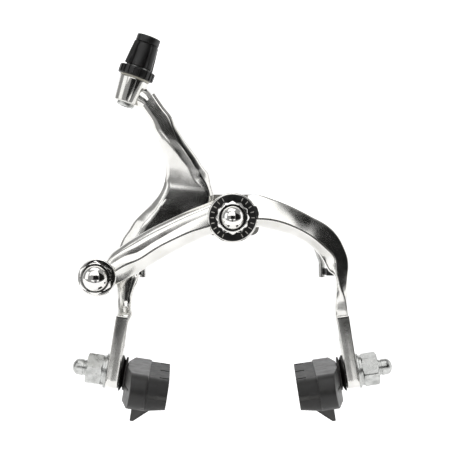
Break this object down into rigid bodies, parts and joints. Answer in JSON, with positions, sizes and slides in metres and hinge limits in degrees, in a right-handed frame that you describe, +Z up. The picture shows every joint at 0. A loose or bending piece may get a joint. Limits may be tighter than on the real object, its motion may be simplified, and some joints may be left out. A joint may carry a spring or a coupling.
{
  "type": "rim brake caliper",
  "caption": "Single-pivot side-pull rim brake caliper: two curved arms on one bolt, cable anchor, barrel adjuster, return spring and slotted brake shoes.",
  "frame": {"origin": "on the pivot axis, at the face that seats on the fork crown", "axes": "+Y to the rear along the mounting stud, +Z up, +X to the right seen from the front"},
  "size_m": [0.0992, 0.0652, 0.1181],
  "materials": {
    "polished_alloy": "polished",
    "cast_alloy": "satin",
    "chrome": "polished",
    "zinc_steel": "satin",
    "spring_steel": "satin",
    "dark_steel": "satin",
    "black_plastic": "moulded",
    "holder_plastic": "moulded",
    "bearing_plastic": "smooth",
    "pad_rubber": "matt"
  },
  "bodies": {
    "mount": {"pivot_bolt": "zinc_steel", "crown_spacer": "zinc_steel", "toothed_washer": "zinc_steel", "spring_block": "cast_alloy", "return_spring": "spring_steel", "rear_thrust_washer": "bearing_plastic", "middle_thrust_washer": "bearing_plastic", "front_thrust_washer": "bearing_plastic", "cover_disc": "black_plastic", "star_nut": "chrome", "pivot_cap_nut": "chrome"},
    "front_arm": {"c_arm": "polished_alloy", "c_arm_bush": "bearing_plastic", "right_spring_slider": "black_plastic"},
    "rear_arm": {"y_arm": "polished_alloy", "y_arm_bush": "bearing_plastic", "left_spring_slider": "black_plastic", "barrel_seal": "bearing_plastic", "housing_stop": "black_plastic"},
    "cable_anchor": {"anchor_bolt": "zinc_steel", "anchor_plate": "zinc_steel", "anchor_washer": "chrome", "anchor_cap_nut": "chrome"},
    "barrel": {"barrel_screw": "zinc_steel", "barrel_knob": "black_plastic"},
    "lock_ring": {"barrel_lock_ring": "black_plastic"},
    "left_shoe": {"left_flat_washer": "zinc_steel", "left_lock_washer": "zinc_steel", "left_shoe_nut": "chrome", "left_domed_washer": "dark_steel", "left_cupped_washer": "dark_steel", "left_shoe_holder": "holder_plastic", "left_shoe_stud": "zinc_steel", "left_brake_pad": "pad_rubber"},
    "right_shoe": {"right_flat_washer": "zinc_steel", "right_lock_washer": "zinc_steel", "right_shoe_nut": "chrome", "right_domed_washer": "dark_steel", "right_cupped_washer": "dark_steel", "right_shoe_holder": "holder_plastic", "right_shoe_stud": "zinc_steel", "right_brake_pad": "pad_rubber"}
  },
  "joints": [
    {"name": "front_arm_pivot", "type": "hinge", "parent": "mount", "child": "front_arm", "pos_m": [0, -0.0198, 0], "axis": [0, 1, 0], "range_deg": [0, 11.5], "stiffness_Nm_per_rad": 1, "springref_deg": -14.32, "deforming": ["return_spring"]},
    {"name": "rear_arm_pivot", "type": "hinge", "parent": "mount", "child": "rear_arm", "pos_m": [0, -0.0126, 0], "axis": [0, 1, 0], "range_deg": [-11.5, 0]},
    {"name": "anchor_swivel", "type": "hinge", "parent": "front_arm", "child": "cable_anchor", "pos_m": [-0.0412, -0.023, -0.0182], "axis": [0, 1, 0], "range_deg": [-15, 15]},
    {"name": "barrel_turn", "type": "hinge", "parent": "rear_arm", "child": "barrel", "pos_m": [-0.033, -0.018, 0.0356], "axis": [0.3338, 0, 0.9426], "continuous": true},
    {"name": "lock_ring_turn", "type": "hinge", "parent": "rear_arm", "child": "lock_ring", "pos_m": [-0.03, -0.018, 0.04408], "axis": [0.3338, 0, 0.9426], "continuous": true},
    {"name": "left_shoe_height", "type": "slide", "parent": "rear_arm", "child": "left_shoe", "axis": [0.1564, 0, 0.9877], "range_m": [0, 0.0085]},
    {"name": "right_shoe_height", "type": "slide", "parent": "front_arm", "child": "right_shoe", "axis": [-0.1564, 0, 0.9877], "range_m": [0, 0.0085]}
  ],
  "couplings": [
    {"joint": "rear_arm_pivot", "follows": "front_arm_pivot", "ratio": -1}
  ]
}
